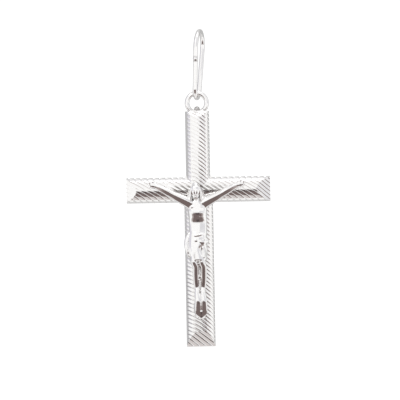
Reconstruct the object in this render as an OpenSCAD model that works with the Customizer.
// Crucifix pendant: a wire bail, a cross with its soldered eyelet, and a cast relief figure.
// The origin is the inside top of the bail, where a chain lies. The front faces -Y and +Z is up.

/* [Bail] */
// Thickness of the bail's round wire
bail_wire = 0.6; // [0.4:0.05:0.8]
// Outside length of the egg-shaped bail
bail_length = 9.3; // [8:0.1:14]
// Radius of the wide upper bend, at the middle of the wire
bail_top_r = 2.1; // [1.7:0.05:2.6]
// Radius of the narrow lower bend, at the middle of the wire
bail_low_r = 1.35; // [1.15:0.05:1.6]
// Turn of the bail about the vertical, away from edge-on
bail_turn = 12; // [0:1:25]
// Sideways lean of the bail against the line of the cross
bail_lean = 3.7; // [0:0.1:8]
// Diameter of the soldered seam on the front leg
seam_d = 0.7; // [0.62:0.02:0.85]
// Drop of the seam below the chain's seat
seam_drop = 3.4; // [2.8:0.1:5]

/* [Eyelet] */
// Thickness of the eyelet's round wire
eyelet_wire = 0.62; // [0.45:0.01:0.8]
// Inside diameter of the eyelet
eyelet_hole = 1.92; // [1.6:0.02:2.4]
// Depth to which the eyelet is sunk in the top end of the cross
eyelet_sink = 0.5; // [0.3:0.05:0.6]
// Play between the eyelet and the bail that it hangs on
link_gap = 0.03; // [0.02:0.01:0.08]

/* [Cross] */
// Height of the cross without its eyelet
cross_height = 30.6; // [26:0.2:40]
// Width of the cross from tip to tip
cross_width = 18.7; // [17:0.1:26]
// Drop of the crossbar's middle below the top of the cross
bar_drop = 10.2; // [8:0.1:13]
// Width of the arm above the crossbar
upper_w = 3.15; // [2.8:0.05:3.6]
// Width of the arm below the crossbar
lower_w = 3.75; // [3.4:0.05:4.2]
// Height of the crossbar
bar_h = 3.3; // [3:0.05:3.8]
// Thickness of the upright side walls, from the flat back to the rounded front
rim = 0.5; // [0.3:0.05:0.8]
// Rise of the rounded front of the upright above its side walls
crown = 1.2; // [0.9:0.05:1.35]
// Step of the crossbar's rounded front below the upright's
bar_step = 0.06; // [0.04:0.01:0.2]
// Length of the sloping facets at the foot and the two side tips
tip_length = 2.05; // [1.2:0.05:3]
// Length of the short facet at the top end
top_tip_length = 0.7; // [0.4:0.05:1]
// Thickness of the top end, where the eyelet is soldered
top_tip_h = 1.15; // [0.9:0.05:1.3]
// Radius of the two inside corners above the crossbar
corner_r = 0.4; // [0.2:0.05:0.7]
// Distance from the middle of the eyelet's wire to the flat back
back_set = 0.7; // [0.6:0.05:0.9]

/* [Grooves] */
// Distance from one groove to the next
groove_pitch = 0.42; // [0.38:0.02:0.8]
// Width of a groove
groove_w = 0.16; // [0.1:0.01:0.2]
// Depth of the grooves
groove_depth = 0.07; // [0.04:0.01:0.1]
// Slant of the grooves below the level, seen from the front
groove_slant = 33; // [25:1:40]
// Tilt of the grooves, which makes them steeper on faces that look to the right
groove_tilt = 16; // [8:1:22]

/* [Figure] */
// Height of the figure, from the top of the head to the end of its foot support
figure_h = 17.9; // [16:0.1:19]
// Height of the top of the head above the crossbar's middle
head_rise = 1; // [0.6:0.1:1.4]
// Sideways place of the figure against the middle of the cross
figure_aside = -0.22; // [-0.3:0.02:0.3]
// Span of the arms, from fingertip to fingertip
arm_span = 12.5; // [11:0.1:14]
// Width of the chest
body_w = 2.56; // [2.3:0.02:2.9]
// Rise of the chest above the cross
relief = 0.9; // [0.7:0.05:1.1]
// Thickness of the upper arms
arm_w = 1.02; // [0.8:0.02:1.2]
// Width of the head with its hair
head_w = 1.62; // [1.4:0.02:1.8]
// Height of the head with its beard
head_h = 2.1; // [1.8:0.05:2.4]
// Clearance between the figure and the cross
seat_gap = 0.03; // [0.02:0.01:0.06]
// Diameter of the pins on the back of the figure
pin_d = 0.46; // [0.36:0.02:0.56]
// Depth to which the pins reach into the cross
pin_depth = 0.7; // [0.5:0.05:0.9]
// Clearance round and under each pin
pin_gap = 0.04; // [0.03:0.01:0.08]

/* [Hidden] */
round_fn = 96;
depth = rim + crown;
bar_crown = crown - bar_step;
crown_y = back_set - depth;
// Bail: its two bends and the straight legs between them
bail_r = bail_wire / 2;
bend_gap = bail_length - bail_wire - bail_top_r - bail_low_r;
leg_angle = asin((bail_top_r - bail_low_r) / bend_gap);
leg_length = bend_gap * cos(leg_angle);
leg_top_y = bail_top_r * cos(leg_angle);
top_bend_z = bail_r - bail_top_r;
leg_top_z = top_bend_z - bail_top_r * sin(leg_angle);
low_bend_z = top_bend_z - bend_gap;
low_wire_z = low_bend_z - bail_low_r;
// The cross hangs plumb below the middle of the bail's lowest wire
cross_x = low_wire_z * sin(bail_lean);
hinge_z = low_wire_z * cos(bail_lean);
eyelet_z = hinge_z + bail_r + link_gap - eyelet_hole / 2;
cross_top = eyelet_z - eyelet_hole / 2 - eyelet_wire + eyelet_sink;
cross_foot = cross_top - cross_height;
bar_z = cross_top - bar_drop;
half_span = cross_width / 2;
// Figure: from the crossbar's middle upwards
head_top = bar_z + head_rise;
// Length of a pin inside the figure
pin_root = 0.2;
// How far back the figure's overhanging sides reach from the front of the cross
side_drop = 0.9;
// Sideways place of the head against the figure's middle, in widths of the chest
head_aside = -0.06;
// Rings that round each end of a limb, and the place of the ring that closes it
cap_rings = 3;
pole_ring = 0.15;
// The trunk's and the loincloth's sections from top to bottom: [aside, down, out, half width, half thickness]
trunk_rows = [
    [-0.04, 0.09, 0.10, 0.16, 0.19],
    [0, 0.125, -0.05, 0.30, 0.27],
    [0, 0.155, -0.1, 0.46, 0.32],
    [0, 0.19, -0.1, 0.50, 0.352],
    [0, 0.23, -0.08, 0.475, 0.362],
    [0, 0.27, -0.1, 0.435, 0.27],
    [0, 0.32, -0.1, 0.42, 0.26],
    [0, 0.40, -0.1, 0.44, 0.33],
    [0, 0.47, -0.1, 0.46, 0.34],
    [0, 0.54, -0.1, 0.42, 0.28]
];
cloth_rows = [
    [0, 0.365, -0.05, 0.40, 0.28],
    [-0.02, 0.40, -0.05, 0.48, 0.37],
    [-0.02, 0.45, -0.04, 0.51, 0.41],
    [-0.01, 0.50, -0.01, 0.50, 0.40],
    [0, 0.545, 0.05, 0.46, 0.37]
];

// Radius of an arch of the given width and rise
function arch_r(w, rise) = (w * w / 4 + rise * rise) / (2 * rise);

// A bar's section: flat back, two low side walls and an arched front, taken down by "lower"
module bar_section(w, rise, lower) {
    r = arch_r(w, rise);
    intersection() {
        translate([0, back_set - rim - rise + r]) circle(r - lower, $fn = round_fn);
        translate([-w / 2, back_set - rim - rise]) square([w, rim + rise]);
    }
}

// Takes off the front corner of a bar that points up and ends at z = 0
module tip_cut(w, length, end_h, lower) {
    reach = length + depth;
    translate([0, back_set - end_h, 0])
        rotate([atan2(length, depth - end_h), 0, 0])
            translate([-w, -reach * 2, -lower]) cube([w * 2, reach * 4, reach]);
}

// The upright, in two widths that meet behind the crossbar's middle
module upright(lower) {
    difference() {
        union() {
            translate([0, 0, bar_z])
                linear_extrude(cross_top - bar_z) bar_section(upper_w, crown, lower);
            translate([0, 0, cross_foot])
                linear_extrude(bar_z - cross_foot) bar_section(lower_w, crown, lower);
        }
        translate([0, 0, cross_top])
            tip_cut(upper_w, top_tip_length, top_tip_h, lower);
        translate([0, 0, cross_foot])
            mirror([0, 0, 1]) tip_cut(lower_w, tip_length, rim, lower);
    }
}

// The crossbar, with a facet at each tip
module crossbar(lower) {
    translate([0, 0, bar_z])
        rotate([0, 90, 0])
            difference() {
                translate([0, 0, -half_span])
                    linear_extrude(cross_width) bar_section(bar_h, bar_crown, lower);
                for (side = [0, 1])
                    mirror([0, 0, side])
                        translate([0, 0, half_span]) tip_cut(bar_h, tip_length, rim, lower);
            }
}

// Small rounded corners between the upper arm and the crossbar
module corner_fillets() {
    for (side = [-1, 1])
        translate([side * upper_w / 2, back_set, bar_z + bar_h / 2])
            rotate([90, 0, 0])
                linear_extrude(rim)
                    difference() {
                        translate([min(side, 0) * corner_r, 0]) square(corner_r);
                        translate([side * corner_r, corner_r]) circle(corner_r, $fn = round_fn);
                    }
}

// The cross without its eyelet; its rounded fronts and facets are taken down by "lower"
module cross_body(lower) {
    upright(lower);
    crossbar(lower);
    corner_fillets();
}

// The flat plate between the side walls, which the grooves leave whole
module rim_plate() {
    translate([-upper_w / 2, back_set - rim, bar_z]) cube([upper_w, rim, cross_top - bar_z]);
    translate([-lower_w / 2, back_set - rim, cross_foot]) cube([lower_w, rim, bar_z - cross_foot]);
    translate([-half_span, back_set - rim, bar_z - bar_h / 2]) cube([cross_width, rim, bar_h]);
}

// Flat slanted slabs, one for each ridge between two grooves
module ridge_slabs() {
    above = ceil((bar_drop + upper_w) / groove_pitch);
    below = ceil((cross_height - bar_drop) / groove_pitch);
    reach = cross_height + cross_width;
    translate([0, crown_y, bar_z])
        rotate([0, groove_slant, 0])
            rotate([-groove_tilt, 0, 0])
                for (i = [-below:above])
                    translate([0, 0, i * groove_pitch])
                        cube([reach, reach, groove_pitch - groove_w], center = true);
}

// The eyelet's wire ring, facing the front
module eyelet() {
    translate([0, 0, eyelet_z])
        rotate([90, 0, 0])
            rotate_extrude($fn = round_fn)
                translate([(eyelet_hole + eyelet_wire) / 2, 0]) circle(eyelet_wire / 2, $fn = round_fn);
}

// The cross: a plate, a core as deep as the grooves go, the ridges on it, and the eyelet on its top end
module cross() {
    color("silver")
        difference() {
            translate([cross_x, 0, 0]) {
                cross_body(groove_depth);
                rim_plate();
                intersection() {
                    cross_body(0);
                    ridge_slabs();
                }
                eyelet();
            }
            pins(pin_d + pin_gap * 2, pin_depth + pin_gap);
        }
}

// One bend of the bail's wire, with its middle at the top
module bend(r, sweep) {
    rotate([90, 0, 90])
        rotate([0, 0, 90 - sweep / 2])
            rotate_extrude(angle = sweep, $fn = round_fn)
                translate([r, 0]) circle(bail_r, $fn = round_fn);
}

// A straight leg of the bail, from the end of its wide bend down to the narrow one
module bail_leg(side) {
    translate([0, side * leg_top_y, leg_top_z])
        rotate([-side * leg_angle, 0, 0])
            translate([0, 0, -leg_length]) cylinder(r = bail_r, h = leg_length, $fn = round_fn);
}

// The bail, closed with a soldered seam on its front leg
module bail() {
    color("gainsboro")
        rotate([0, bail_lean, 0])
            rotate([0, 0, -bail_turn]) {
                translate([0, 0, top_bend_z]) bend(bail_top_r, 180 + leg_angle * 2);
                translate([0, 0, low_bend_z])
                    rotate([180, 0, 0]) bend(bail_low_r, 180 - leg_angle * 2);
                bail_leg(-1);
                bail_leg(1);
                translate([0, (seam_drop + leg_top_z) * tan(leg_angle) - leg_top_y, -seam_drop])
                    sphere(d = seam_d, $fn = round_fn);
            }
}

// A point of the figure: sideways, down from the top of the head, and out from the front of the cross
function spot(aside, down, out) =
    [cross_x + figure_aside + aside * body_w, crown_y - out * relief, head_top - down * figure_h];

// Value at place t, from 0 to 1, on a smooth curve through one column of a table
function along(rows, column, t) =
    let (
        last = len(rows) - 1,
        i = min(floor(t * last), last - 1),
        f = t * last - i,
        a = rows[max(i - 1, 0)][column],
        b = rows[i][column],
        c = rows[i + 1][column],
        d = rows[min(i + 2, last)][column]
    )
    b + f * (c - a) / 2 + f * f * (a - 2.5 * b + 2 * c - d / 2)
        + f * f * f * (1.5 * (b - c) + (d - a) / 2);

// How far out the front of a table's limb lies, at a place aside and down
function front_of(rows, aside, down) =
    let (
        last = len(rows) - 1,
        t = lookup(down, [for (i = [0:last]) [rows[i][1], i / last]]),
        off = (aside - along(rows, 0, t)) / along(rows, 3, t)
    )
    along(rows, 2, t) + along(rows, 4, t) * body_w / relief * sqrt(max(1 - off * off, 0));

function unit(v) = v / norm(v);

// A rounded limb through a table's rows: [aside, down, out, half width, half thickness]
module limb(rows, side = 1, steps = 14, sides = 16) {
    total = steps + cap_rings * 2;
    at = [for (i = [0:total]) min(max((i - cap_rings) / steps, 0), 1)];
    // Angle of each ring from a pole: 90 along the limb, less on the rounded ends
    rise = [for (i = [0:total]) max(min(i, total - i, cap_rings), pole_ring) * 90 / cap_rings];
    mid = [for (t = at) spot(side * along(rows, 0, t), along(rows, 1, t), along(rows, 2, t))];
    first = unit(mid[cap_rings + 1] - mid[cap_rings]);
    last = unit(mid[total - cap_rings] - mid[total - cap_rings - 1]);
    way = [for (i = [0:total])
        i <= cap_rings ? first : i >= total - cap_rings ? last : unit(mid[i + 1] - mid[i - 1])];
    points = [for (i = [0:total])
        let (
            wide = along(rows, 3, at[i]) * body_w,
            thick = along(rows, 4, at[i]) * body_w,
            end = i < cap_rings ? -1 : i > total - cap_rings ? 1 : 0,
            u = unit(cross(way[i], [0, 1, 0])),
            v = cross(u, way[i]),
            middle = mid[i] + end * way[i] * min(wide, thick) * cos(rise[i])
        )
        for (k = [0:sides - 1])
            let (turn = k * 360 / sides)
            middle + sin(rise[i]) * (u * wide * cos(turn) + v * thick * sin(turn))];
    faces = [
        [for (k = [sides - 1:-1:0]) k],
        for (i = [0:total - 1], k = [0:sides - 1])
            let (a = i * sides, b = a + sides, n = (k + 1) % sides)
            each [[a + k, a + n, b + n], [a + k, b + n, b + k]],
        [for (k = [0:sides - 1]) total * sides + k]
    ];
    polyhedron(points, faces, convexity = 6);
}

// A thin strand through round spots: each row is [aside, down, out, radius]
module strand(rows, side = 1, fn = 8) {
    for (i = [0:len(rows) - 2])
        hull()
            for (row = [rows[i], rows[i + 1]])
                translate(spot(side * row[0], row[1], row[2])) sphere(row[3] * body_w, $fn = fn);
}

// A strand laid on the front of a limb: each row is [aside, down, radius]
module laid_strand(rows, base, side = 1, fn = 8) {
    strand([for (row = rows) [row[0], row[1], front_of(base, side * row[0], row[1]), row[2]]], side, fn);
}

// Trunk: neck, shoulders, rib cage, hollow belly and hips
module trunk() {
    limb(trunk_rows, steps = 18, sides = 22);
    for (side = [-1, 1]) {
        // Chest muscle
        limb([
            [0.07, 0.184, front_of(trunk_rows, 0.07, 0.184) - 0.1, 0.11, 0.07],
            [0.22, 0.182, front_of(trunk_rows, 0.22, 0.182) - 0.1, 0.15, 0.08],
            [0.36, 0.166, front_of(trunk_rows, 0.36, 0.166) - 0.1, 0.09, 0.06]
        ], side, 4, 10);
        // Ribs, and the arch that ends them
        for (rib = [0:1])
            laid_strand([
                [0.10, 0.205 + rib * 0.017, 0.022],
                [0.28, 0.211 + rib * 0.019, 0.026],
                [0.42, 0.202 + rib * 0.021, 0.022]
            ], trunk_rows, side, 6);
        laid_strand([[0.03, 0.230, 0.03], [0.16, 0.244, 0.035], [0.32, 0.264, 0.03], [0.38, 0.286, 0.02]],
            trunk_rows, side, 6);
    }
}

// Head, bowed forward, with long hair and a short beard; the face is a plain, calm one
module head() {
    w = head_w / 2 / body_w;
    h = head_h / figure_h;
    x = head_aside;
    skull = [
        [x, h * 0.10, 0.28, w * 0.60, w * 0.60],
        [x, h * 0.30, 0.42, w * 0.84, w * 0.82],
        [x, h * 0.58, 0.52, w * 0.78, w * 0.80],
        [x, h * 0.82, 0.58, w * 0.54, w * 0.62],
        [x, h * 0.96, 0.58, w * 0.26, w * 0.36]
    ];
    limb(skull, steps = 8, sides = 18);
    for (side = [-1, 1]) {
        // Brow and closed eyelid
        strand([
            [side * x + w * 0.10, h * 0.46, front_of(skull, x + w * 0.10, h * 0.46) - 0.02, w * 0.07],
            [side * x + w * 0.42, h * 0.45, front_of(skull, x + w * 0.42, h * 0.45) - 0.02, w * 0.06]
        ], side);
        strand([
            [side * x + w * 0.20, h * 0.545, front_of(skull, x + w * 0.20, h * 0.545) - 0.04, w * 0.08],
            [side * x + w * 0.38, h * 0.55, front_of(skull, x + w * 0.38, h * 0.55) - 0.04, w * 0.08]
        ], side);
        // Hair parted over the brow, falling in locks to the shoulder
        for (lock = [0:2])
            strand([
                [side * x + w * (0.10 + lock * 0.16), h * (0.08 + lock * 0.07), 0.66 - lock * 0.18, w * 0.27],
                [side * x + w * (0.62 + lock * 0.08), h * (0.34 + lock * 0.05), 0.76 - lock * 0.26, w * 0.22],
                [side * x + w * (0.78 + lock * 0.08), h * 0.74, 0.60 - lock * 0.22, w * 0.22],
                [side * x + w * (0.66 + lock * 0.22), h * (1.08 + lock * 0.1), 0.52 - lock * 0.2, w * 0.17]
            ], side);
    }
    // Nose and mouth
    strand([
        [x, h * 0.47, front_of(skull, x, h * 0.47), w * 0.06],
        [x, h * 0.67, front_of(skull, x, h * 0.67) + 0.14, w * 0.11]
    ]);
    strand([
        [x - w * 0.15, h * 0.78, front_of(skull, x, h * 0.78), w * 0.06],
        [x + w * 0.15, h * 0.78, front_of(skull, x, h * 0.78), w * 0.06]
    ]);
    // Beard
    for (side = [-1, 0, 1])
        strand([
            [x + side * w * 0.36, h * 0.84, 0.98 - abs(side) * 0.14, w * 0.20],
            [x + side * w * 0.14, h * 1.06, 0.92 - abs(side) * 0.06, w * 0.16]
        ]);
}

// An arm with its open hand; the hand ends at half the span
module arm(side) {
    reach = arm_span / 2 / body_w;
    w = arm_w / 2 / body_w;
    limb([
        [0.32, 0.158, 0.08, w * 1.42, w * 1.25],
        [0.56, 0.138, 0.16, w * 1.32, w * 1.22],
        [reach * 0.40, 0.108, 0.18, w * 1.12, w * 1.05],
        [reach * 0.52, 0.086, 0.16, w * 0.94, w * 0.92],
        [reach * 0.64, 0.062, 0.14, w * 0.94, w * 0.88],
        [reach * 0.75, 0.042, 0.10, w * 0.78, w * 0.72],
        [reach * 0.84, 0.028, 0.04, w * 0.56, w * 0.5]
    ], side, 13, 12);
    // Palm, fingers and thumb
    limb([
        [reach * 0.84, 0.027, 0.02, w * 0.6, w * 0.5],
        [reach * 0.90, 0.018, -0.04, w * 0.85, w * 0.5],
        [reach * 0.93, 0.014, -0.05, w * 0.8, w * 0.45]
    ], side, 3, 10);
    for (finger = [0:3])
        strand([
            [reach * 0.92, 0.004 + finger * 0.007, 0, w * 0.25],
            [reach * (0.97 - finger * 0.006), -0.002 + finger * 0.0085, 0.1, w * 0.22],
            [reach * (0.992 - finger * 0.008), 0.004 + finger * 0.0085, 0, w * 0.2]
        ], side, 6);
    strand([[reach * 0.88, 0.008, 0, w * 0.28], [reach * 0.91, -0.006, 0.1, w * 0.22]], side, 6);
}

// Loincloth: a wrapped cloth with slanting folds and a knot at its left side, seen from the front
module loincloth() {
    limb(cloth_rows, steps = 8, sides = 22);
    for (fold = [0:4])
        laid_strand([
            [-0.44, 0.385 + fold * 0.006, 0.035],
            [-0.22, 0.392 + fold * 0.022, 0.045],
            [0.04, 0.392 + fold * 0.034, 0.05],
            [0.28, 0.384 + fold * 0.038, 0.045],
            [0.43, 0.372 + fold * 0.038, 0.035]
        ], cloth_rows, 1, 6);
    // Hem
    laid_strand([[-0.42, 0.53, 0.04], [-0.16, 0.55, 0.045], [0.1, 0.556, 0.045], [0.4, 0.535, 0.04]],
        cloth_rows, 1, 6);
    // Knot and its hanging end
    limb([[-0.46, 0.375, 0.25, 0.11, 0.14], [-0.55, 0.40, 0.15, 0.13, 0.16], [-0.54, 0.43, 0.1, 0.1, 0.12]],
        steps = 4, sides = 10);
    for (tail = [0:2])
        strand([
            [-0.52 + tail * 0.05, 0.41, 0.2, 0.06],
            [-0.62 + tail * 0.08, 0.46, 0.1 + tail * 0.15, 0.075],
            [-0.58 + tail * 0.08, 0.53 - tail * 0.01, 0.1 + tail * 0.12, 0.06]
        ]);
}

// A leg, bent forward at the knee, with its foot pointing down; the lower legs lie a little to the right
module leg(side) {
    drift = side * 0.08;
    limb([
        [0.20, 0.46, 0, 0.22, 0.25],
        [0.205, 0.51, 0.14, 0.22, 0.25],
        [0.20, 0.548, 0.36, 0.20, 0.235],
        [0.185, 0.582, 0.50, 0.175, 0.21],
        [0.17 + drift, 0.615, 0.44, 0.15, 0.17],
        [0.165 + drift, 0.67, 0.29, 0.155, 0.165],
        [0.15 + drift, 0.73, 0.18, 0.13, 0.135],
        [0.125 + drift, 0.775, 0.14, 0.11, 0.12]
    ], side, 16, 14);
    // Kneecap
    limb([[0.185, 0.564, 0.82, 0.09, 0.07], [0.183, 0.592, 0.86, 0.085, 0.06]], side, 2, 8);
    limb([
        [0.125 + drift, 0.765, 0.14, 0.11, 0.12],
        [0.15 + drift, 0.80, 0.34, 0.14, 0.14],
        [0.165 + drift, 0.845, 0.50, 0.16, 0.13],
        [0.17 + drift, 0.89, 0.44, 0.17, 0.10],
        [0.165 + drift, 0.935, 0.34, 0.165, 0.075]
    ], side, 7, 12);
    for (toe = [0:4])
        strand([
            [toe * 0.062 + 0.036 + drift, 0.925, 0.52 - toe * 0.02, 0.038],
            [toe * 0.062 + 0.036 + drift, 0.972 - toe * 0.007, 0.44 - toe * 0.02, 0.034]
        ], side, 6);
}

// The small rounded support under the feet
module foot_rest() {
    limb([
        [0.08, 0.87, -0.12, 0.30, 0.20],
        [0.08, 0.91, -0.08, 0.34, 0.22],
        [0.08, 0.945, -0.08, 0.32, 0.20],
        [0.08, 0.972, -0.1, 0.25, 0.16]
    ], 1, 6, 16);
}

// Places of the round pins on the back of the figure: each row is [aside, down]
function pin_spots() =
    let (hand = arm_span / 2 / body_w * 0.88)
    [[-hand, 0.02], [hand, 0.02], [0, 0.93]];

// The pins, or with more thickness and depth the bores that they stand in
module pins(d, reach) {
    for (place = pin_spots())
        translate(spot(place[0], place[1], 0))
            rotate([90, 0, 0])
                translate([0, 0, -reach]) cylinder(d = d, h = reach + pin_root, $fn = 32);
}

// The figure, cut at its back to the rounded front of the cross
module corpus() {
    color("whitesmoke") {
        difference() {
            union() {
                trunk();
                head();
                arm(-1);
                arm(1);
                loincloth();
                leg(-1);
                leg(1);
                foot_rest();
            }
            translate([cross_x, -seat_gap, 0]) cross_body(0);
            translate([cross_x - cross_width, crown_y + side_drop, cross_foot])
                cube([cross_width * 2, depth, cross_height]);
        }
        pins(pin_d, pin_depth);
    }
}

bail();
cross();
corpus();
